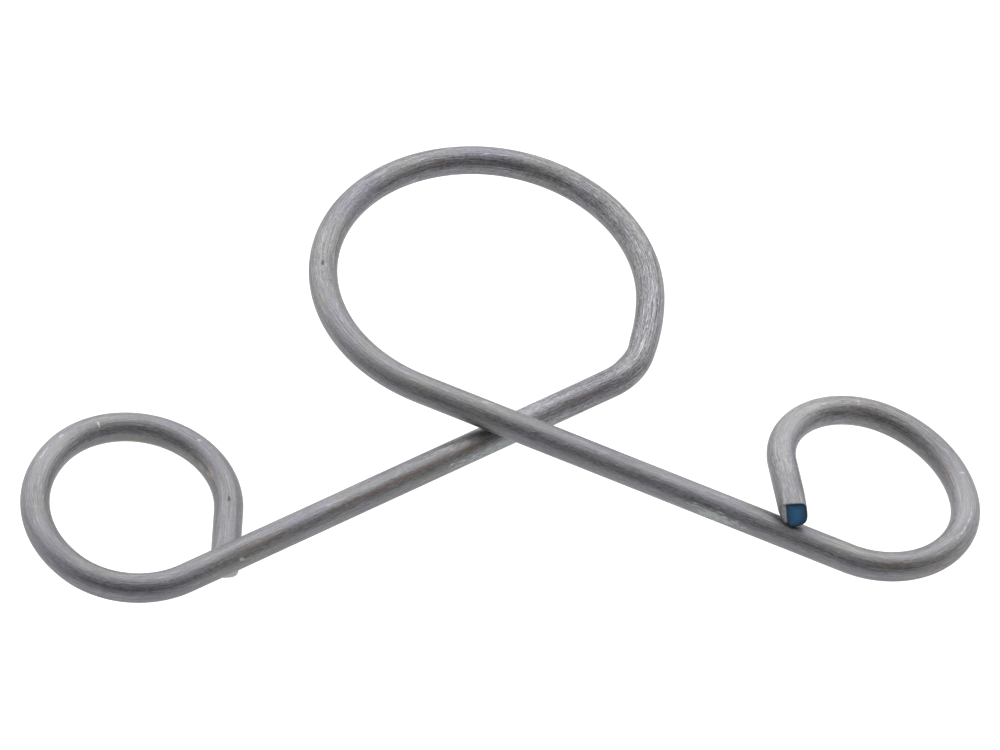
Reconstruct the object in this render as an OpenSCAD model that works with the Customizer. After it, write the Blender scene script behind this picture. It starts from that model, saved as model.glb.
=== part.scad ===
// Retaining clip bent from one length of round spring wire: a centre loop that grips,
// two straight legs that cross below it, and a finger loop at the end of each leg.
// The wire always turns the same way and every later strand passes over the earlier one.
// Squeezing the finger loops together opens the centre loop.
// The clip is built as it lies on a flat surface at z = 0, origin under the middle of its box.

/* [Wire] */
// diameter of the round wire
wire_d = 3.2; // [2.6:0.1:4]
// clear gap where one strand passes over another
strand_gap = 0.2; // [0.1:0.05:0.5]
// slant of the sheared end faces, top edge cut back
shear_slant = 14; // [0:1:25]
// radius of the end edge rolled over by the shear blade
shear_roll_r = 1.1; // [0.4:0.1:1.4]
// turn of the shear blade about the wire
shear_turn = 16; // [-30:1:30]
// width of the bevel worn round each sheared face
end_bevel = 0.25; // [0.1:0.05:0.4]

/* [Left finger loop, in order from the wire end] */
// straight end that lies under the left leg
left_end_l = 7.7; // [5:0.1:12]
// first bend, radius to the wire centre
left_first_r = 10.2; // [8:0.1:13]
// first bend, angle turned
left_first_a = 147; // [135:0.5:160]
// outer arc, radius to the wire centre
left_outer_r = 13.3; // [10:0.1:17]
// outer arc, angle turned
left_outer_a = 83; // [70:0.5:95]
// last arc, radius to the wire centre
left_last_r = 9.9; // [8:0.1:13]
// last arc, angle turned
left_last_a = 74.5; // [62:0.5:86]

/* [Legs] */
// left leg, from its finger loop under the right leg to the centre loop
left_leg_l = 54.6; // [45:0.1:68]
// right leg, from the centre loop over the left leg to its finger loop
right_leg_l = 50.5; // [42:0.1:62]
// roll of the wire between the left leg and the centre loop
left_fold_a = 3; // [-6:0.5:10]
// roll of the wire between the right leg and its finger loop
right_fold_a = -4; // [-10:0.5:6]

/* [Centre loop, in order from the left leg] */
// corner that turns the left leg into the loop, radius to the wire centre
corner_r = 7.9; // [5:0.1:10]
// corner, angle turned
corner_a = 39.5; // [30:0.5:48]
// flat side after the corner, radius to the wire centre
side_r = 29.4; // [22:0.1:36]
// flat side, angle turned
side_a = 16; // [8:0.5:24]
// far side of the loop, radius to the wire centre
far_r = 17.9; // [15:0.1:21.5]
// far side, angle turned
far_a = 99.5; // [88:0.5:112]
// near side of the loop, radius to the wire centre
near_r = 18.8; // [16:0.1:22.5]
// near side, angle turned
near_a = 74.5; // [64:0.5:86]
// run-out into the right leg, radius to the wire centre
exit_r = 18.5; // [15.5:0.1:22]
// run-out, angle turned
exit_a = 72.4; // [62:0.1:82]

/* [Right finger loop, in order from the right leg] */
// first bend, radius to the wire centre
right_first_r = 9.3; // [7.5:0.1:12]
// first bend, angle turned
right_first_a = 121.5; // [110:0.5:133]
// outer arc, radius to the wire centre
right_outer_r = 13.1; // [10:0.1:17]
// outer arc, angle turned
right_outer_a = 31.5; // [22:0.5:42]
// top arc, radius to the wire centre
right_top_r = 12.5; // [10:0.1:16]
// top arc, angle turned
right_top_a = 30.5; // [20:0.5:42]
// last arc, radius to the wire centre
right_last_r = 9.1; // [7.5:0.1:12]
// last arc, angle turned
right_last_a = 117.5; // [106:0.5:129]
// straight end that lies on the right leg
right_end_l = 7.9; // [5:0.1:12]

/* [Hidden] */

wire_r = wire_d / 2;
// step in radius between lengths of wire, and how far one runs on inside the next
draw_down = 0.01;
lap_l = 0.15;
// spare wire beyond each end that the shear takes off
spare_l = 1;
end_stub = spare_l + wire_r * tan(shear_slant);
// depth at which the bevel has run out of the slanted wire on every side
bevel_l = (end_bevel + wire_r / cos(shear_slant) - wire_r) / (1 - tan(shear_slant)) + lap_l;
strand_rise = wire_d + strand_gap;
// largest angle bent without rolling the wire a little
piece_a = 60;
trial_twist = 0.1;
twist_rounds = 5;
rest_rounds = 8;
// angle between the points the rest position is measured at
sample_a = 1;
cut_box = 4 * wire_d;
// facets round the wire, and in a full turn of a bend
round_sides = 36;
sweep_sides = 48;

left_bends = [[left_first_r, left_first_a], [left_outer_r, left_outer_a], [left_last_r, left_last_a]];
centre_bends = [
    [corner_r, corner_a],
    [side_r, side_a],
    [far_r, far_a],
    [near_r, near_a],
    [exit_r, exit_a]
];
right_bends = [
    [right_first_r, right_first_a],
    [right_outer_r, right_outer_a],
    [right_top_r, right_top_a],
    [right_last_r, right_last_a]
];

// One step along the wire is [roll, feed, radius, angle, thinning]: roll about the wire,
// then either feed it straight or bend it to the left.
function straight(l) = [0, l, 0, 0, 0];
function is_straight(s) = s[1] > 0;

function place(o) = [[1, 0, 0, o[0]], [0, 1, 0, o[1]], [0, 0, 1, o[2]], [0, 0, 0, 1]];
function roll(a) = [[1, 0, 0, 0], [0, cos(a), -sin(a), 0], [0, sin(a), cos(a), 0], [0, 0, 0, 1]];
function turn(a) = [[cos(a), -sin(a), 0, 0], [sin(a), cos(a), 0, 0], [0, 0, 1, 0], [0, 0, 0, 1]];
function bend(r, a) = place([r * sin(a), r * (1 - cos(a)), 0]) * turn(a);
function advance(s) = roll(s[0]) * place([s[1], 0, 0]) * bend(s[2], s[3]);

function point(m) = [m[0][3], m[1][3], m[2][3]];
function axis_x(m) = [m[0][0], m[1][0], m[2][0]];
function unit(v) = v / norm(v);
function sum(v) = v * [for (x = v) 1];

// Frame at the start of every step, and after the last one.
function walk(steps, start = place([0, 0, 0])) = [
    for (i = 0, m = start; i <= len(steps); m = i < len(steps) ? m * advance(steps[i]) : m, i = i + 1) m
];

// A loop as equal short bends, with a small roll between neighbours that makes it rise.
function pieces(bends) = [
    for (b = bends) let (n = ceil(b[1] / piece_a)) for (i = [1 : n]) [b[0], b[1] / n]
];
function arc_l(p) = p[0] * p[1] * PI / 180;
function twisted(ps, twist, fold = 0) = [
    for (i = [0 : len(ps) - 1])
        let (turned = i == 0 ? fold : twist * (arc_l(ps[i]) + arc_l(ps[i - 1])) / 2)
            [turned, 0, ps[i][0], ps[i][1], 1 + i % 2]
];

// How far the line that leaves a loop passes over the line that enters it.
function rise(ps, twist) =
    let (frames = walk(twisted(ps, twist)), last = frames[len(ps)])
    let (across = unit(cross([1, 0, 0], axis_x(last))))
    point(last) * across * sign(across[2]);

// Twist per mm of wire that makes a loop clear itself by one wire and the gap.
function solved_twist(ps, a = 0, b = trial_twist, rounds = twist_rounds) =
    let (rise_a = rise(ps, a), rise_b = rise(ps, b))
    rounds == 0 || abs(rise_b - rise_a) < 1e-9
        ? b
        : solved_twist(ps, b, b + (strand_rise - rise_b) * (b - a) / (rise_b - rise_a), rounds - 1);
function loop(bends, fold = 0) = let (ps = pieces(bends)) twisted(ps, solved_twist(ps), fold);

left_loop = loop(left_bends);
centre_loop = loop(centre_bends, left_fold_a);
right_loop = loop(right_bends, right_fold_a);
steps = concat(
    [straight(left_end_l)],
    left_loop,
    [straight(left_leg_l)],
    centre_loop,
    [straight(right_leg_l)],
    right_loop,
    [straight(right_end_l)]
);
left_leg_step = 1 + len(left_loop);
centre_step = left_leg_step + 1;
right_leg_step = centre_step + len(centre_loop);
formed = walk(steps);

// Points on the wire's centre line over a range of steps.
function along(s) =
    is_straight(s) ? [[0, 0, 0], [s[1], 0, 0]] : [for (a = [0 : sample_a : s[3]]) point(bend(s[2], a))];
function moved(m, p) = point(m * place(p));
function centre_line(from, to) = [
    for (i = [from : to]) for (p = along(steps[i])) moved(formed[i] * roll(steps[i][0]), p)
];
left_points = centre_line(0, 1);
centre_points = centre_line(centre_step, right_leg_step - 1);
right_points = centre_line(right_leg_step, len(steps) - 1);
all_points = centre_line(0, len(steps) - 1);

// The clip rests on three points: its left end, its centre loop and its right loop.
function lowest(points, up) = let (h = [for (p = points) p * up]) points[search(min(h), h)[0]];
function rest_up(up = [0, 0, 1], rounds = rest_rounds) =
    rounds == 0 ? up : let (
        a = lowest(left_points, up),
        b = lowest(centre_points, up),
        c = lowest(right_points, up)
    ) rest_up(unit(cross(c - a, b - a)), rounds - 1);
up = rest_up();
ground = lowest(left_points, up) * up;

// Seen from above, the two legs lean equally to each side of the y axis.
function level(v) = unit(v - up * (v * up));
ahead = unit(level(axis_x(formed[left_leg_step])) + level(axis_x(formed[right_leg_step])));
aside = cross(up, ahead);
x_all = [for (p = all_points) p * ahead];
y_all = [for (p = all_points) p * aside];
mid_x = (min(x_all) + max(x_all)) / 2;
mid_y = (min(y_all) + max(y_all)) / 2;
rest = place([-mid_x, -mid_y, wire_r - ground]) * [concat(ahead, 0), concat(aside, 0), concat(up, 0), [0, 0, 0, 1]];

// Bent wire stretches and thins by a hundredth or two. Neighbouring lengths differ in
// thickness, and the thinner one runs on a little way inside the thicker one.
function thickness(i) = wire_r - steps[i][4] * draw_down;
function lap(i, other) =
    other < 0 || other == len(steps) ? end_stub : thickness(i) < thickness(other) ? lap_l : 0;

// One straight or bent length of wire, starting at the origin along x.
module length_of_wire(i) {
    s = steps[i];
    before = lap(i, i - 1);
    after = lap(i, i + 1);
    if (is_straight(s))
        translate([-before, 0, 0])
            rotate([0, 90, 0])
                cylinder(h = before + s[1] + after, r = thickness(i), $fn = round_sides);
    else {
        degrees_per_mm = 180 / PI / s[2];
        translate([0, s[2], 0])
            rotate([0, 0, -90 - before * degrees_per_mm])
                rotate_extrude(angle = s[3] + (before + after) * degrees_per_mm, $fn = sweep_sides)
                    translate([s[2], 0])
                        circle(r = thickness(i), $fn = round_sides);
    }
}

// What the shear takes away beyond the end of the wire, which lies along x and stops at x = 0.
module shear_waste() {
    rotate([0, -shear_slant, 0])
        translate([0, -cut_box / 2, -cut_box / 2])
            cube(cut_box);
    difference() {
        translate([-shear_roll_r, -wire_r, -cut_box / 2])
            cube([shear_roll_r + cut_box, shear_roll_r, cut_box]);
        translate([-shear_roll_r, -wire_r + shear_roll_r, -cut_box])
            cylinder(h = 2 * cut_box, r = shear_roll_r, $fn = round_sides);
    }
    rotate([0, -shear_slant, 0])
        rotate([0, -90, 0])
            bevel_waste();
}

// The ring outside a cone that narrows to the sheared face, which is at z = 0.
module bevel_waste() {
    rim_r = wire_r - end_bevel;
    difference() {
        cylinder(h = bevel_l, r = 2 * wire_r, $fn = round_sides);
        translate([0, 0, -bevel_l])
            cylinder(h = 3 * bevel_l, r1 = rim_r - bevel_l, r2 = rim_r + 2 * bevel_l, $fn = round_sides);
    }
}

// A straight length at an end of the wire, sheared off at x = tip: the first length is
// sheared at its start, where tip is 0, and the last one at its far end.
module sheared_end(i, tip) {
    difference() {
        length_of_wire(i);
        translate([tip, 0, 0])
            rotate([0, 0, tip > 0 ? 0 : 180])
                rotate([shear_turn, 0, 0])
                    shear_waste();
    }
}

module clip_wire() {
    last = len(steps) - 1;
    color("#8e8e90")
        multmatrix(rest) {
            sheared_end(0, 0);
            for (i = [1 : last - 1])
                multmatrix(formed[i] * roll(steps[i][0]))
                    length_of_wire(i);
            multmatrix(formed[last])
                sheared_end(last, right_end_l);
        }
}

clip_wire();
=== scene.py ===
import math
import bmesh
import bpy
from mathutils import Matrix, Vector


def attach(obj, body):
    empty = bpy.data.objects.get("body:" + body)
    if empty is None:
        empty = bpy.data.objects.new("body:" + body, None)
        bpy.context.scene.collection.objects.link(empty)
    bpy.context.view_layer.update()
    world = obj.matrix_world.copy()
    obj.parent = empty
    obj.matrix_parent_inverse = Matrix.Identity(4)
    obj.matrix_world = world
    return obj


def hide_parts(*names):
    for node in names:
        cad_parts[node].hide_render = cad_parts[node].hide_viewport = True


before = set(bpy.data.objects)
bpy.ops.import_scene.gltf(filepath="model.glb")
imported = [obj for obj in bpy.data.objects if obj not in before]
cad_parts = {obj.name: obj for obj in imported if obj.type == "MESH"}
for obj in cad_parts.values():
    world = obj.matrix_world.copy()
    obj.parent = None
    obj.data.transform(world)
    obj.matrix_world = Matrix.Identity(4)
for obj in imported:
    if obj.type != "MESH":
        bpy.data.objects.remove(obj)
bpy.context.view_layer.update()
mm = 0.001


# adds one node with its properties and inputs; an input given a socket is linked to it
def addNode(tree, kind, settings={}, inputs={}):
    node = tree.nodes.new(kind)
    for name, value in settings.items():
        setattr(node, name, value)
    for name, value in inputs.items():
        if isinstance(value, bpy.types.NodeSocket):
            tree.links.new(value, node.inputs[name])
        else:
            node.inputs[name].default_value = value
    return node


def hexColour(code):
    channels = [int(code[i:i + 2], 16) / 255 for i in (1, 3, 5)]
    linear = [c / 12.92 if c <= 0.04045 else ((c + 0.055) / 1.055) ** 2.4 for c in channels]
    return (*linear, 1.0)


# the camera looks down on the clip from the front
cameraSet = {
    "lookAt": (1.45, 2.31, 0.0),  # mm
    "distance": 700.4,  # mm
    "elevation": 49.81,
    "azimuth": 4.4,
    "lens": 229.07,
}


def placeCamera():
    elevation = math.radians(cameraSet["elevation"])
    azimuth = math.radians(cameraSet["azimuth"])
    back = Vector((
        -math.sin(azimuth) * math.cos(elevation),
        -math.cos(azimuth) * math.cos(elevation),
        math.sin(elevation),
    ))
    lens = bpy.data.cameras.new("camera")
    lens.lens = cameraSet["lens"]
    lens.clip_start = 0.01
    camera = bpy.data.objects.new("camera", lens)
    camera.location = (Vector(cameraSet["lookAt"]) + back * cameraSet["distance"]) * mm
    camera.rotation_euler = back.to_track_quat("Z", "Y").to_euler()
    bpy.context.scene.collection.objects.link(camera)
    bpy.context.scene.camera = camera


placeCamera()
print("camera placed")

# the wire is bent step by step, as a forming machine does
wireSet = {
    "diameter": 3.2,  # mm
    "thinning": 0.01,  # mm off the radius, where bending has stretched it
    "strandGap": 0.2,  # mm between strands that cross
    "leftEnd": 7.7,  # straight lengths in mm
    "leftLeg": 54.6,
    "rightLeg": 50.5,
    "rightEnd": 7.9,
    "leftLoop": [(10.2, 147), (13.3, 83), (9.9, 74.5)],  # radius in mm, angle
    "centreLoop": [(7.9, 39.5), (29.4, 16), (17.9, 99.5), (18.8, 74.5), (18.5, 72.4)],
    "rightLoop": [(9.3, 121.5), (13.1, 31.5), (12.5, 30.5), (9.1, 117.5)],
    "centreFold": 3,  # roll of the wire before the loop
    "rightFold": -4,
    "largestPiece": 60,  # degrees bent without rolling the wire
    "straightStep": 1.0,  # mm between rings
    "bendStep": 1.0,  # degrees between rings
    "sides": 40,
    "tipLength": 2.5,  # mm at each end with no ring, which the shear shapes
    "twistTries": 5,  # secant steps that each loop's twist takes
    "levelTries": 8,  # turns that lay the clip level
}
shearSet = {
    "slant": 10,  # degrees
    "roll": 1.1,  # mm, radius of the edge that the blade rolls over
    "turn": 16,  # degrees that the blade is turned about the wire
    "edgeBreak": 0.25,  # mm of worn edge round the cut
    "reach": 0.1,  # mm that the pressed metal runs out at the middle of the cut
    "squareTop": 5,  # 2 leaves the section round, more presses it towards a square
    "squareBottom": 3,
    "pressTop": 0.9,  # shares of the radius left
    "pressSide": 0.89,
    "pressTopLean": 0.12,  # how much lower the top gets towards the side away from the roll
    "pressFrom": -0.88,  # radii from the middle where the pressing starts, and where it is full
    "pressFull": -0.48,
    "edgeSteps": (30, 60, 90),  # degrees round the worn edge
    "inkFrom": 0.6,  # share of the rolled edge that the cut face starts at
    "rings": (0.76, 0.66, 0.56, 0.46, 0.36, 0.24, 0.12, 0),  # shares of the face's radius
}
wireRadius = wireSet["diameter"] / 2


def bendMatrix(radius, angle):
    turn = math.radians(angle)
    move = Vector((radius * math.sin(turn), radius * (1 - math.cos(turn)), 0))
    return Matrix.Translation(move) @ Matrix.Rotation(turn, 4, "Z")


def moveMatrix(feed, radius, angle):
    return bendMatrix(radius, angle) if radius else Matrix.Translation((feed, 0, 0))


def rollMatrix(angle):
    return Matrix.Rotation(math.radians(angle), 4, "X")


def splitBends(bends):
    parts = []
    for radius, angle in bends:
        count = math.ceil(angle / wireSet["largestPiece"])
        parts += [(radius, angle / count)] * count
    return parts


# a step is (roll, feed, radius, angle)
def loopSteps(parts, twist, fold=0):
    lengths = [radius * math.radians(angle) for radius, angle in parts]
    rolls = [fold] + [twist * (a + b) / 2 for a, b in zip(lengths, lengths[1:])]
    return [(roll, 0, *part) for roll, part in zip(rolls, parts)]


def stepMatrix(step):
    roll, feed, radius, angle = step
    return rollMatrix(roll) @ moveMatrix(feed, radius, angle)


# how far the line that leaves a loop passes over the line that enters it
def riseOfLoop(parts, twist):
    end = Matrix.Identity(4)
    for step in loopSteps(parts, twist):
        end = end @ stepMatrix(step)
    across = Vector((1, 0, 0)).cross(end.col[0].xyz).normalized()
    return end.translation.dot(across) * math.copysign(1, across.z)


# twist per mm that makes a loop clear itself, found by secant steps
def makeLoop(bends, fold=0):
    parts = splitBends(bends)
    target = wireSet["diameter"] + wireSet["strandGap"]
    low, high = 0.0, 0.1
    for _ in range(wireSet["twistTries"]):
        riseLow, riseHigh = riseOfLoop(parts, low), riseOfLoop(parts, high)
        if abs(riseHigh - riseLow) < 1e-6:
            break
        low, high = high, high + (target - riseHigh) * (high - low) / (riseHigh - riseLow)
    return loopSteps(parts, high, fold)


# rings along the wire: step number, length so far, place, direction and the side that was
# on top before the wire was first bent
def traceWire(steps):
    rings = []
    start, along, rolled = Matrix.Identity(4), 0.0, 0.0
    tip = wireSet["tipLength"]
    for number, step in enumerate(steps):
        roll, feed, radius, angle = step
        rolled += math.radians(roll)
        start = start @ rollMatrix(roll)
        length = feed or radius * math.radians(angle)
        count = math.ceil(feed / wireSet["straightStep"] if feed else angle / wireSet["bendStep"])
        last = number == len(steps) - 1
        for i in range(count + last):
            done = i / count
            inFirstTip = number == 0 and 0 < done * length < tip
            inLastTip = last and 0 < (1 - done) * length < tip
            if inFirstTip or inLastTip:
                continue
            here = start @ moveMatrix(feed * done, radius, angle * done)
            side = here.col[1].xyz * math.sin(rolled) + here.col[2].xyz * math.cos(rolled)
            place, ahead = here.translation.copy(), here.col[0].xyz
            rings.append((number, along + length * done, place, ahead, side))
        start = start @ moveMatrix(feed, radius, angle)
        along += length
    return rings, start


# lies the wire on its three lowest points, with its legs leaning equally to each side
def restMatrix(rings, leftLeg, rightLeg):
    groups = (
        [r[2] for r in rings if r[0] <= 1],
        [r[2] for r in rings if leftLeg < r[0] < rightLeg],
        [r[2] for r in rings if r[0] >= rightLeg],
    )
    up = Vector((0, 0, 1))
    for _ in range(wireSet["levelTries"]):
        a, b, c = (min(points, key=up.dot) for points in groups)
        up = (c - a).cross(b - a).normalized()
    legs = [next(r[3] for r in rings if r[0] == number) for number in (leftLeg, rightLeg)]
    ahead = sum(((leg - up * leg.dot(up)).normalized() for leg in legs), Vector()).normalized()
    aside = up.cross(ahead)
    middle = [
        (min(r[2].dot(axis) for r in rings) + max(r[2].dot(axis) for r in rings)) / 2
        for axis in (ahead, aside)
    ]
    ground = min(p.dot(up) for p in groups[0]) - wireRadius
    turn = Matrix((ahead, aside, up)).to_4x4()
    return Matrix.Translation((-middle[0], -middle[1], -ground)) @ turn


leftLoop = makeLoop(wireSet["leftLoop"])
centreLoop = makeLoop(wireSet["centreLoop"], wireSet["centreFold"])
rightLoop = makeLoop(wireSet["rightLoop"], wireSet["rightFold"])
wireSteps = (
    [(0, wireSet["leftEnd"], 0, 0)] + leftLoop
    + [(0, wireSet["leftLeg"], 0, 0)] + centreLoop
    + [(0, wireSet["rightLeg"], 0, 0)] + rightLoop
    + [(0, wireSet["rightEnd"], 0, 0)]
)
leftLegStep = 1 + len(leftLoop)
rightLegStep = leftLegStep + 1 + len(centreLoop)
rings, wireEnd = traceWire(wireSteps)
rest = restMatrix(rings, leftLegStep, rightLegStep)
print(f"wire traced, {rings[-1][1]:.1f} mm long")


# the centre line as a chain of edges that carries its length and its side
def makeCentreLine():
    mesh = bpy.data.meshes.new("centreLine")
    turn = rest.to_3x3()
    points = [(rest @ r[2]) * mm for r in rings]
    mesh.from_pydata(points, [(i, i + 1) for i in range(len(points) - 1)], [])
    along = mesh.attributes.new("along", "FLOAT", "POINT")
    side = mesh.attributes.new("side", "FLOAT_VECTOR", "POINT")
    for i, ring in enumerate(rings):
        along.data[i].value = ring[1]
        side.data[i].vector = turn @ ring[4]
    line = bpy.data.objects.new("clipWire", mesh)
    bpy.context.scene.collection.objects.link(line)
    return line


# sweeps a ring along the centre line, and keeps each point's place on the straight wire
# before it was bent, in mm, for the finish to follow
def sweepTree():
    tree = bpy.data.node_groups.new("sweepWire", "GeometryNodeTree")
    face = tree.interface
    face.new_socket("Centre line", in_out="INPUT", socket_type="NodeSocketGeometry")
    face.new_socket("Wire radius", in_out="INPUT", socket_type="NodeSocketFloat")
    face.new_socket("Sides", in_out="INPUT", socket_type="NodeSocketInt")
    face.new_socket("Finish", in_out="INPUT", socket_type="NodeSocketMaterial")
    face.new_socket("Wire", in_out="OUTPUT", socket_type="NodeSocketGeometry")
    given = addNode(tree, "NodeGroupInput").outputs
    side = addNode(tree, "GeometryNodeInputNamedAttribute", {"data_type": "FLOAT_VECTOR"}, {
        "Name": "side"})
    line = addNode(tree, "GeometryNodeMeshToCurve", {}, {"Mesh": given["Centre line"]})
    line = addNode(tree, "GeometryNodeSetCurveNormal", {"mode": "FREE"}, {
        "Curve": line.outputs[0], "Normal": side.outputs[0]})
    ring = addNode(tree, "GeometryNodeCurvePrimitiveCircle", {}, {
        "Resolution": given["Sides"], "Radius": given["Wire radius"]})
    ringPlace = addNode(tree, "GeometryNodeInputPosition")
    ring = addNode(tree, "GeometryNodeStoreNamedAttribute", {"data_type": "FLOAT_VECTOR"}, {
        "Geometry": ring.outputs[0], "Name": "ringPlace", "Value": ringPlace.outputs[0]})
    wire = addNode(tree, "GeometryNodeCurveToMesh", {}, {
        "Curve": line.outputs[0], "Profile Curve": ring.outputs[0]})
    along = addNode(tree, "GeometryNodeInputNamedAttribute", {"data_type": "FLOAT"}, {
        "Name": "along"})
    across = addNode(tree, "GeometryNodeInputNamedAttribute", {"data_type": "FLOAT_VECTOR"}, {
        "Name": "ringPlace"})
    across = addNode(tree, "ShaderNodeVectorMath", {"operation": "SCALE"}, {
        0: across.outputs[0], "Scale": 1 / mm})
    across = addNode(tree, "ShaderNodeSeparateXYZ", {}, {0: across.outputs[0]})
    straight = addNode(tree, "ShaderNodeCombineXYZ", {}, {
        "X": along.outputs[0], "Y": across.outputs["X"], "Z": across.outputs["Y"]})
    wire = addNode(tree, "GeometryNodeStoreNamedAttribute", {"data_type": "FLOAT_VECTOR"}, {
        "Geometry": wire.outputs[0], "Name": "straightWire", "Value": straight.outputs[0]})
    wire = addNode(tree, "GeometryNodeSetShadeSmooth", {}, {"Geometry": wire.outputs[0]})
    wire = addNode(tree, "GeometryNodeRealizeInstances", {}, {"Geometry": wire.outputs[0]})
    wire = addNode(tree, "GeometryNodeSetMaterial", {}, {
        "Geometry": wire.outputs[0], "Material": given["Finish"]})
    addNode(tree, "NodeGroupOutput", {}, {"Wire": wire.outputs[0]})
    return tree


def applyTree(thing, tree, values):
    modifier = thing.modifiers.new(tree.name, "NODES")
    modifier.node_group = tree
    for item in tree.interface.items_tree:
        if item.in_out == "INPUT" and item.name in values:
            modifier[item.identifier] = values[item.name]
    shown = thing.evaluated_get(bpy.context.evaluated_depsgraph_get())
    mesh = bpy.data.meshes.new_from_object(shown)
    thing.modifiers.remove(modifier)
    thing.data = mesh


# how far the wire reaches at a point of its cut end, in mm past the end of its centre line:
# first with the slant alone, then with the edge that the blade rolled over
def shearReach(y, z):
    slanted = shearSet["reach"] - z * math.tan(math.radians(shearSet["slant"]))
    roll = shearSet["roll"]
    inRoll = roll - wireRadius - y
    if inRoll <= 0:
        return slanted
    return min(slanted, math.sqrt(max(roll * roll - inRoll * inRoll, 0)) - roll)


# where the blade presses a point of the round rim to, away from the rolled edge
def pressedPlace(place):
    y, z = place / wireRadius
    power = shearSet["squareTop"] if z > 0 else shearSet["squareBottom"]
    corner = (abs(y) ** power + abs(z) ** power) ** (-1 / power)
    squared = Vector((
        y * corner * (shearSet["pressSide"] if y > 0 else 1),
        z * corner * (shearSet["pressTop"] - shearSet["pressTopLean"] * y if z > 0 else 1),
    )) * wireRadius
    pressed = (y - shearSet["pressFrom"]) / (shearSet["pressFull"] - shearSet["pressFrom"])
    return place.lerp(squared, max(0, min(1, pressed)))


# closes one open end of the wire with its sheared face, as rings that shrink to a point
def shearEnd(shape, rim, endMatrix, outward):
    straightLayer = shape.verts.layers.float_vector["straightWire"]
    cutLayer = shape.verts.layers.float["cutFace"]
    blade = endMatrix @ Matrix.Rotation(math.radians(shearSet["turn"]), 4, "X")
    toBlade = blade.inverted()
    rim = sorted(rim, key=lambda v: math.atan2(*(toBlade @ v.co).zy))
    places = [pressedPlace((toBlade @ v.co / mm).yz) for v in rim]
    straights = [v[straightLayer].copy() for v in rim]
    edge = shearSet["edgeBreak"]
    worn = [math.radians(angle) for angle in shearSet["edgeSteps"]]
    shares = [1 - edge / wireRadius * (1 - math.cos(angle)) for angle in worn]
    backs = [edge * (1 - math.sin(angle)) for angle in worn]
    shares += shearSet["rings"]
    backs += [0] * len(shearSet["rings"])

    def putVert(vert, share, back, place, straight):
        y, z = place * share
        reach = shearReach(y, z) - back
        vert.co = blade @ (Vector((reach, y, z)) * mm)
        along = straights[0].x + outward * reach
        vert[straightLayer] = (along, straight.y * share, straight.z * share)
        fromRoll = y + wireRadius - shearSet["roll"] * shearSet["inkFrom"]
        vert[cutLayer] = max(0, min(wireRadius * (1 - share), fromRoll))

    for vert, place, straight in zip(rim, places, straights):
        putVert(vert, 1, edge, place, straight)
    outer = rim
    for share, back in zip(shares, backs):
        inner = [shape.verts.new() for _ in (rim if share else (0,))]
        for vert, place, straight in zip(inner, places, straights):
            putVert(vert, share, back, place, straight)
        for i in range(len(outer)):
            j = (i + 1) % len(outer)
            if share:
                corners = (outer[i], outer[j], inner[j], inner[i])
            else:
                corners = (outer[i], outer[j], inner[0])
            shape.faces.new(corners).smooth = True
        outer = inner


# the tight corner is kinked where its inner side was pressed on the forming pin:
# mm along the wire, half length in mm, mm of metal pushed out or in
pinKinks = [(121.8, 2.6, 0.09), (123.6, 0.8, 0.07), (126.4, 0.9, -0.15)]


def pressCorner(shape):
    straightLayer = shape.verts.layers.float_vector["straightWire"]
    shape.normal_update()
    for vert in shape.verts:
        along, _, around = vert[straightLayer]
        inner = max(0, -around / wireRadius)
        push = sum(
            depth * math.exp(-((along - middle) / half) ** 2)
            for middle, half, depth in pinKinks
        )
        vert.co += vert.normal * push * inner ** 2 * mm


def inMetres(matrix):
    return Matrix.Translation(matrix.translation * mm) @ matrix.to_3x3().to_4x4()


# the kinked corner first, then the two cut ends
def pressAndCut(wire):
    shape = bmesh.new()
    shape.from_mesh(wire.data)
    shape.verts.layers.float.new("cutFace")
    straightLayer = shape.verts.layers.float_vector["straightWire"]
    wireLength = rings[-1][1]
    pressCorner(shape)
    starts = [v for v in shape.verts if v[straightLayer].x < 0.001]
    ends = [v for v in shape.verts if v[straightLayer].x > wireLength - 0.001]
    shearEnd(shape, starts, inMetres(rest) @ Matrix.Rotation(math.pi, 4, "Z"), -1)
    shearEnd(shape, ends, inMetres(rest @ wireEnd), 1)
    bmesh.ops.recalc_face_normals(shape, faces=shape.faces)
    shape.to_mesh(wire.data)
    shape.free()


steelSet = {
    "dark": "#565659",
    "light": "#979799",
    "coolTint": "#f7f7ff",
    "warmTint": "#fffdf7",
    "hairline": "#c4c4c8",
    "shade": "#4c4c50",
    "sheen": "#b0b0b3",
    "rust": "#705646",
    "olive": "#6e6a4c",
    "dust": "#a59c8f",
    "scuff": "#c4cfcb",
    "scratch": "#d4d4d6",
    "pit": "#3c3c40",
    "bareCut": "#a3a3a5",
    "inkedCut": "#315474",
    # the dark rim of the inked face: partly darker ink, partly painted shade at the cut's edge
    "inkedRimPaintedShade": "#253748",
    "fineShare": 0.45,  # how much of the grey comes from each pattern
    "broadShare": 0.1,
    "grainShare": 0.45,
    "plainContrast": 0.7,
    "scrapedContrast": 0.85,  # added where the tools scraped the skin
    "hairlineShare": 0.35,
    "roughness": (0.42, 0.56),
    "dullRoughness": 0.2,  # added on rust and scuffs
    "dullMetal": 0.8,  # metallic lost there
    "bumpStrength": 0.7,
    "bumpHeight": 0.02,  # mm
    "pitDepth": 2.0,  # times the bump height
    "rimWidth": (0.05, 0.12),  # mm in from the edge of the cut where its colour starts
    "inkAndRimShadeFade": (0.12, 1.0),  # mm in from the edge over which the ink gets paler, out of a dark rim that is partly darker ink and partly painted shade at the cut's edge
    "rustDullness": 0.4,  # how dull rust is beside a scuff
    "fineHeight": 0.4,  # share of the bump from each pattern
    "grainHeight": 0.6,
    "noiseRoughness": 0.6,  # of every line pattern
}
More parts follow.
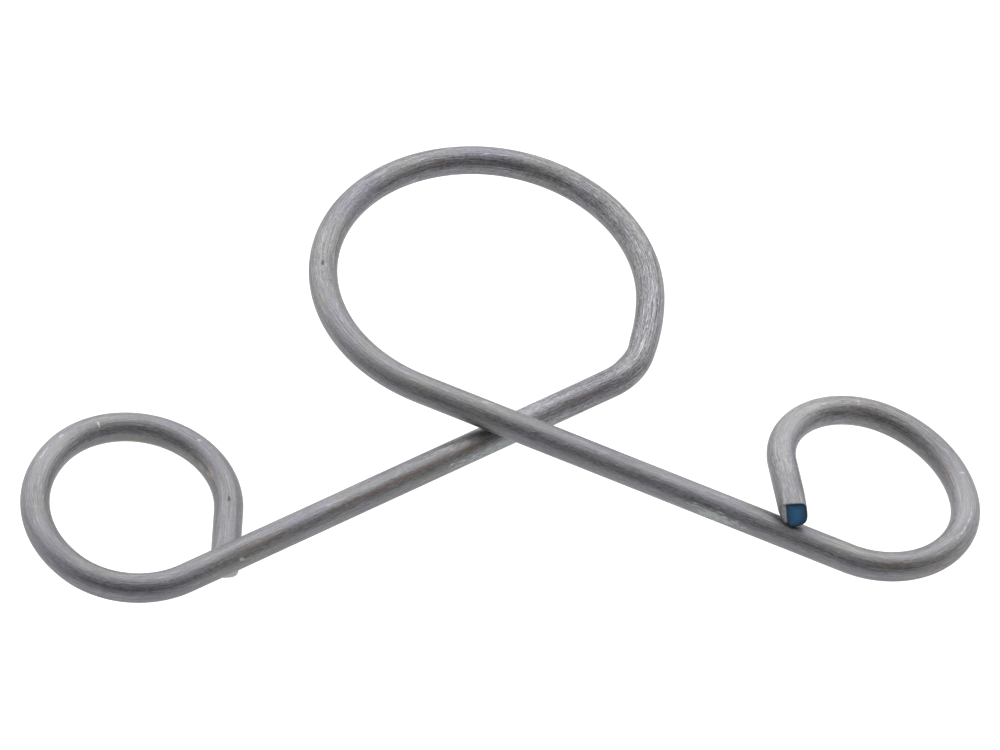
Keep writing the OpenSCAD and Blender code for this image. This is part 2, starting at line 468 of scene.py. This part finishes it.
# length along the wire and width round it in mm, the noise values that read as dark and
# light, and the noise detail; the real drawing lines are about 0.03 mm apart, and these are
# drawn at 0.1 mm so that they show
linePatterns = {
    "fineLines": (5.0, 0.11, 0.32, 0.68, 1.0),
    "broadLines": (12.5, 0.62, 0.3, 0.7, 3.0),
    "grain": (0.42, 0.13, 0.38, 0.62, 2.0),
    "patches": (8.3, 2.5, 0.35, 0.65, 2.0),
    "hairlines": (2.0, 0.11, 0.62, 0.72, 1.0),
}
# a mark fades from its middle to its edge, both as shares of its size, and noise makes that
# edge ragged
markEdge = {
    "middle": 0.4,
    "edge": 1.0,
    "ragged": 0.7,
    "raggedScale": (1.2, 4, 4),  # per mm along and round the wire
    "raggedNoise": (0.3, 0.7),
    "raggedDetail": 3.0,
}
# each mark is mm along the wire, degrees round it, half its length and width in mm, strength
wireMarks = {
    "shade": [  # stretches with a darker skin
        (50, 0, 12, 12, 0.2), (230, 0, 14, 12, 0.15), (292, 0, 9, 12, 0.16), (258, 0, 6, 12, 0.1),
        (14, 0, 9, 12, 0.08), (157, 0, 10, 12, 0.08), (322, 0, 3, 12, 0.1),
    ],
    "sheen": [  # and with a brighter one
        (311, 0, 9, 12, 0.2), (106, 0, 8, 12, 0.25), (283, 0, 7, 12, 0.12), (35, 0, 5, 12, 0.12),
    ],
    # stretches that the forming tools scraped, where the grain shows more
    "scraped": [(137, 0, 34, 12, 1), (176, 0, 26, 12, 0.45), (301, 0, 14, 12, 0.3)],
    "rust": [
        (92, 46, 12, 0.35, 0.4), (97, 42, 3, 0.25, 0.45), (76, 46, 6, 0.4, 0.25),
        (101.5, 48, 3.5, 0.35, 0.5), (170, -27, 3, 0.4, 0.25), (268.5, 58, 1.8, 0.45, 0.45),
        (273, 98, 2, 0.35, 0.3), (288, -26, 4, 0.2, 0.35), (300.5, -8, 1.6, 0.3, 0.35),
        (117, 52, 4, 0.4, 0.3), (57, 126, 4, 0.4, 0.25),
    ],
    "olive": [(101.6, 48, 1.4, 0.25, 0.6), (24, -88, 9, 0.5, 0.35)],
    "dust": [(12.6, -58, 1, 0.5, 0.5), (14.5, -70, 0.7, 0.4, 0.4), (302, -20, 2, 0.5, 0.3)],
    "scuff": [
        (103.5, 97, 5, 0.35, 0.9), (249, 107, 2.8, 0.75, 0.58), (98.8, 77, 0.3, 0.2, 0.8),
        (84.5, 19, 1.5, 0.15, 0.2), (72.1, 71, 0.3, 0.2, 0.6), (36.3, 25, 0.9, 0.2, 0.4),
        (33.5, 19, 0.6, 0.18, 0.35), (16.9, 2, 0.25, 0.2, 0.45), (221, 10, 1.2, 0.25, 0.3),
        (172.8, -72, 0.6, 0.3, 0.5), (188.5, 38, 1.2, 0.3, 0.15),
    ],
    "scratch": [
        (28.8, -15, 0.12, 0.5, 0.45), (286, 28, 0.15, 0.4, 0.2), (301, 26, 0.2, 0.4, 0.22),
        (279.8, 40, 2.8, 0.12, 0.2), (277.5, 38, 1, 0.12, 0.25), (127, 15, 3, 0.07, 0.35),
        (125.5, 22, 2, 0.07, 0.35), (129, 8, 2.5, 0.06, 0.3),
    ],
    "pit": [
        (8.1, -4, 0.35, 0.22, 0.7), (192.5, 25, 0.35, 0.25, 0.7), (227.5, 60, 0.4, 0.25, 0.4),
        (115.5, 107, 0.5, 0.3, 0.5),
    ],
}


# a patch on the wire with ragged edges, 1 inside and 0 outside
def markTree():
    tree = bpy.data.node_groups.new("surfaceMark", "ShaderNodeTree")
    for name in ("Place", "Centre", "Half size"):
        tree.interface.new_socket(name, in_out="INPUT", socket_type="NodeSocketVector")
    tree.interface.new_socket("Strength", in_out="INPUT", socket_type="NodeSocketFloat")
    tree.interface.new_socket("Mask", in_out="OUTPUT", socket_type="NodeSocketFloat")
    given = addNode(tree, "NodeGroupInput").outputs
    away = addNode(tree, "ShaderNodeVectorMath", {"operation": "SUBTRACT"}, {
        0: given["Place"], 1: given["Centre"]})
    away = addNode(tree, "ShaderNodeVectorMath", {"operation": "DIVIDE"}, {
        0: away.outputs[0], 1: given["Half size"]})
    reach = addNode(tree, "ShaderNodeVectorMath", {"operation": "LENGTH"}, {0: away.outputs[0]})
    ragged = addNode(tree, "ShaderNodeMapping", {}, {
        "Vector": given["Place"], "Scale": markEdge["raggedScale"]})
    ragged = addNode(tree, "ShaderNodeTexNoise", {}, {
        "Vector": ragged.outputs[0], "Scale": 1.0, "Detail": markEdge["raggedDetail"]})
    low, high = markEdge["raggedNoise"]
    ragged = addNode(tree, "ShaderNodeMapRange", {"clamp": False}, {
        "Value": ragged.outputs[0], "From Min": low, "From Max": high,
        "To Min": -markEdge["ragged"], "To Max": markEdge["ragged"]})
    reach = addNode(tree, "ShaderNodeMath", {"operation": "ADD"}, {
        0: reach.outputs["Value"], 1: ragged.outputs[0]})
    mask = addNode(tree, "ShaderNodeMapRange", {"interpolation_type": "SMOOTHSTEP"}, {
        "Value": reach.outputs[0], "From Min": markEdge["edge"], "From Max": markEdge["middle"],
        "To Max": given["Strength"]})
    addNode(tree, "NodeGroupOutput", {}, {"Mask": mask.outputs[0]})
    return tree


# cold-drawn spring steel: the die leaves a dull grey skin with fine lines along the wire,
# and handling adds flecks of rust, pale scuffs and hairline scratches
def drawnSpringSteel():
    material = bpy.data.materials.new("drawnSpringSteel")
    material.use_nodes = True
    tree = material.node_tree
    tree.nodes.clear()
    place = addNode(tree, "ShaderNodeAttribute", {"attribute_name": "straightWire"})
    place = place.outputs["Vector"]
    marks = markTree()

    def pattern(name):
        length, width, low, high, detail = linePatterns[name]
        spread = addNode(tree, "ShaderNodeMapping", {}, {
            "Vector": place, "Scale": (1 / length, 1 / width, 1 / width)})
        noise = addNode(tree, "ShaderNodeTexNoise", {}, {
            "Vector": spread.outputs[0], "Scale": 1.0, "Detail": detail,
            "Roughness": steelSet["noiseRoughness"]})
        return addNode(tree, "ShaderNodeMapRange", {}, {
            "Value": noise.outputs[0], "From Min": low, "From Max": high}).outputs[0]

    def calculate(operation, first, second):
        node = addNode(tree, "ShaderNodeMath", {"operation": operation}, {0: first, 1: second})
        return node.outputs[0]

    def blend(amount, first, second, mode="MIX"):
        return addNode(tree, "ShaderNodeMix", {"data_type": "RGBA", "blend_type": mode}, {
            0: amount, 6: first, 7: second}).outputs[2]

    def marked(kind):
        total = None
        for along, around, halfLength, halfWidth, strength in wireMarks[kind]:
            turn = math.radians(around)
            group = addNode(tree, "ShaderNodeGroup", {"node_tree": marks}, {
                "Place": place,
                "Centre": (along, wireRadius * math.cos(turn), wireRadius * math.sin(turn)),
                "Half size": (halfLength, halfWidth, halfWidth),
                "Strength": strength,
            }).outputs[0]
            total = calculate("MAXIMUM", total, group) if total else group
        return total

    fineLines, broadLines, grain, patches, hairlines = (pattern(name) for name in linePatterns)
    tone = calculate("MULTIPLY", fineLines, steelSet["fineShare"])
    tone = calculate("ADD", tone, calculate("MULTIPLY", broadLines, steelSet["broadShare"]))
    tone = calculate("ADD", tone, calculate("MULTIPLY", grain, steelSet["grainShare"]))
    sharper = calculate("MULTIPLY", marked("scraped"), steelSet["scrapedContrast"])
    sharper = calculate("ADD", sharper, steelSet["plainContrast"])
    tone = calculate("MULTIPLY", calculate("SUBTRACT", tone, 0.5), sharper)
    tone = calculate("ADD", tone, 0.5)
    colour = blend(tone, hexColour(steelSet["dark"]), hexColour(steelSet["light"]))
    tint = blend(patches, hexColour(steelSet["coolTint"]), hexColour(steelSet["warmTint"]))
    colour = blend(1.0, colour, tint, "MULTIPLY")
    hairlines = calculate("MULTIPLY", hairlines, sharper)
    hairlines = calculate("MULTIPLY", hairlines, steelSet["hairlineShare"])
    colour = blend(hairlines, colour, hexColour(steelSet["hairline"]))
    masks = {kind: marked(kind) for kind in wireMarks if kind != "scraped"}
    for kind in masks:
        colour = blend(masks[kind], colour, hexColour(steelSet[kind]))

    # the right end is inked blue on its cut face, darker towards its rim, partly from the ink and
    # partly as painted shade at the cut's edge, and the left end is bare
    cut = addNode(tree, "ShaderNodeAttribute", {"attribute_name": "cutFace"}).outputs["Fac"]
    rimStart, rimStop = steelSet["rimWidth"]
    cutMask = addNode(tree, "ShaderNodeMapRange", {}, {
        "Value": cut, "From Min": rimStart, "From Max": rimStop}).outputs[0]
    fadeStart, fadeStop = steelSet["inkAndRimShadeFade"]
    # the ink darkens towards the rim: partly darker ink, partly painted shade where the cut's
    # edge turns away
    inkAndRimShadeMask = addNode(tree, "ShaderNodeMapRange", {}, {
        "Value": cut, "From Min": fadeStart, "From Max": fadeStop}).outputs[0]
    ink = blend(inkAndRimShadeMask, hexColour(steelSet["inkedRimPaintedShade"]), hexColour(steelSet["inkedCut"]))
    along = addNode(tree, "ShaderNodeSeparateXYZ", {}, {0: place}).outputs["X"]
    onRight = calculate("GREATER_THAN", along, rings[-1][1] / 2)
    colour = blend(cutMask, colour, blend(onRight, hexColour(steelSet["bareCut"]), ink))

    # rust and scuffs are dull, and a little of the steel shows through the rust
    dull = calculate("MULTIPLY", masks["rust"], steelSet["rustDullness"])
    dull = calculate("MAXIMUM", dull, masks["scuff"])
    metalLost = calculate("MULTIPLY", dull, steelSet["dullMetal"])
    metallic = calculate("SUBTRACT", 1.0, metalLost)
    smooth, rough = steelSet["roughness"]
    roughness = addNode(tree, "ShaderNodeMapRange", {}, {
        "Value": grain, "To Min": smooth, "To Max": rough}).outputs[0]
    dullRoughness = calculate("MULTIPLY", dull, steelSet["dullRoughness"])
    roughness = calculate("ADD", roughness, dullRoughness)
    height = calculate("MULTIPLY", fineLines, steelSet["fineHeight"])
    height = calculate("ADD", height, calculate("MULTIPLY", grain, steelSet["grainHeight"]))
    pits = calculate("MULTIPLY", masks["pit"], steelSet["pitDepth"])
    height = calculate("SUBTRACT", height, pits)
    bump = addNode(tree, "ShaderNodeBump", {}, {
        "Height": height, "Strength": steelSet["bumpStrength"],
        "Distance": steelSet["bumpHeight"] * mm})
    shader = addNode(tree, "ShaderNodeBsdfPrincipled", {}, {
        "Base Color": colour, "Metallic": metallic, "Roughness": roughness,
        "Normal": bump.outputs[0]})
    addNode(tree, "ShaderNodeOutputMaterial", {}, {"Surface": shader.outputs[0]})
    return material


wire = makeCentreLine()
applyTree(wire, sweepTree(), {
    "Wire radius": (wireRadius - wireSet["thinning"]) * mm,
    "Sides": wireSet["sides"],
    "Finish": drawnSpringSteel(),
})
pressAndCut(wire)
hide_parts("clip_wire")
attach(wire, "root")
print(f"wire swept, {len(wire.data.polygons)} faces")

studioSet = {
    "floorSize": 6.0,  # m
    "floorColour": "#9a9a9a",
    "floorGlow": 1.0,
    "lampPower": 7.5,  # W
    "lampSize": (2.8, 0.8),  # m
    "lampDistance": 0.95,  # m
    "lampElevation": 45,
    "skyBack": 1.6,  # brightness of the studio behind the clip
    "skyFront": 0.34,  # and of the room on the camera's side
    "skyTurn": (-0.4, 0.3),  # where the one turns to the other, front to back
}


def makeFloor():
    mesh = bpy.data.meshes.new("floor")
    half = studioSet["floorSize"] / 2
    corners = [(-half, -half, 0), (half, -half, 0), (half, half, 0), (-half, half, 0)]
    mesh.from_pydata(corners, [], [(0, 1, 2, 3)])
    floor = bpy.data.objects.new("floor", mesh)
    bpy.context.scene.collection.objects.link(floor)
    # matt white background paper: it shows no gloss, and lit from behind it looks plain white
    material = bpy.data.materials.new("whitePaper")
    material.use_nodes = True
    tree = material.node_tree
    tree.nodes.clear()
    ray = addNode(tree, "ShaderNodeLightPath").outputs
    seen = addNode(tree, "ShaderNodeMath", {"operation": "MAXIMUM"}, {
        0: ray["Is Camera Ray"], 1: ray["Is Glossy Ray"]})
    seen = addNode(tree, "ShaderNodeMath", {"operation": "MAXIMUM"}, {
        0: seen.outputs[0], 1: ray["Is Transmission Ray"]})
    glow = addNode(tree, "ShaderNodeMath", {"operation": "MULTIPLY"}, {
        0: seen.outputs[0], 1: studioSet["floorGlow"]})
    paper = addNode(tree, "ShaderNodeBsdfDiffuse", {}, {
        "Color": hexColour(studioSet["floorColour"])})
    light = addNode(tree, "ShaderNodeEmission", {}, {"Strength": glow.outputs[0]})
    both = addNode(tree, "ShaderNodeAddShader", {}, {0: paper.outputs[0], 1: light.outputs[0]})
    addNode(tree, "ShaderNodeOutputMaterial", {}, {"Surface": both.outputs[0]})
    mesh.materials.append(material)


# a bright studio behind the clip, and a dim room on the camera's side
def makeWorld():
    world = bpy.data.worlds.new("studio")
    bpy.context.scene.world = world
    world.use_nodes = True
    tree = world.node_tree
    tree.nodes.clear()
    ray = addNode(tree, "ShaderNodeLightPath").outputs
    direction = addNode(tree, "ShaderNodeTexCoord").outputs["Generated"]
    direction = addNode(tree, "ShaderNodeSeparateXYZ", {}, {0: direction})
    front, back = studioSet["skyTurn"]
    side = addNode(tree, "ShaderNodeMapRange", {"interpolation_type": "SMOOTHSTEP"}, {
        "Value": direction.outputs["Y"], "From Min": front, "From Max": back,
        "To Min": studioSet["skyFront"], "To Max": studioSet["skyBack"]})
    strength = addNode(tree, "ShaderNodeMix", {"data_type": "FLOAT"}, {
        0: ray["Is Camera Ray"], 2: side.outputs[0], 3: 1.0})
    sky = addNode(tree, "ShaderNodeBackground", {}, {
        "Color": (1, 1, 1, 1), "Strength": strength.outputs[0]})
    addNode(tree, "ShaderNodeOutputWorld", {}, {"Surface": sky.outputs[0]})


def makeLamp():
    data = bpy.data.lights.new("softbox", "AREA")
    data.shape = "RECTANGLE"
    data.size, data.size_y = studioSet["lampSize"]
    data.energy = studioSet["lampPower"]
    lamp = bpy.data.objects.new("softbox", data)
    elevation = math.radians(studioSet["lampElevation"])
    back = Vector((0, math.cos(elevation), math.sin(elevation)))
    lamp.location = back * studioSet["lampDistance"]
    lamp.rotation_euler = lamp.location.to_track_quat("Z", "Y").to_euler()
    lamp.visible_camera = False
    bpy.context.scene.collection.objects.link(lamp)


makeFloor()
makeWorld()
makeLamp()
bpy.context.scene.view_settings.view_transform = "Standard"
print("studio lit")
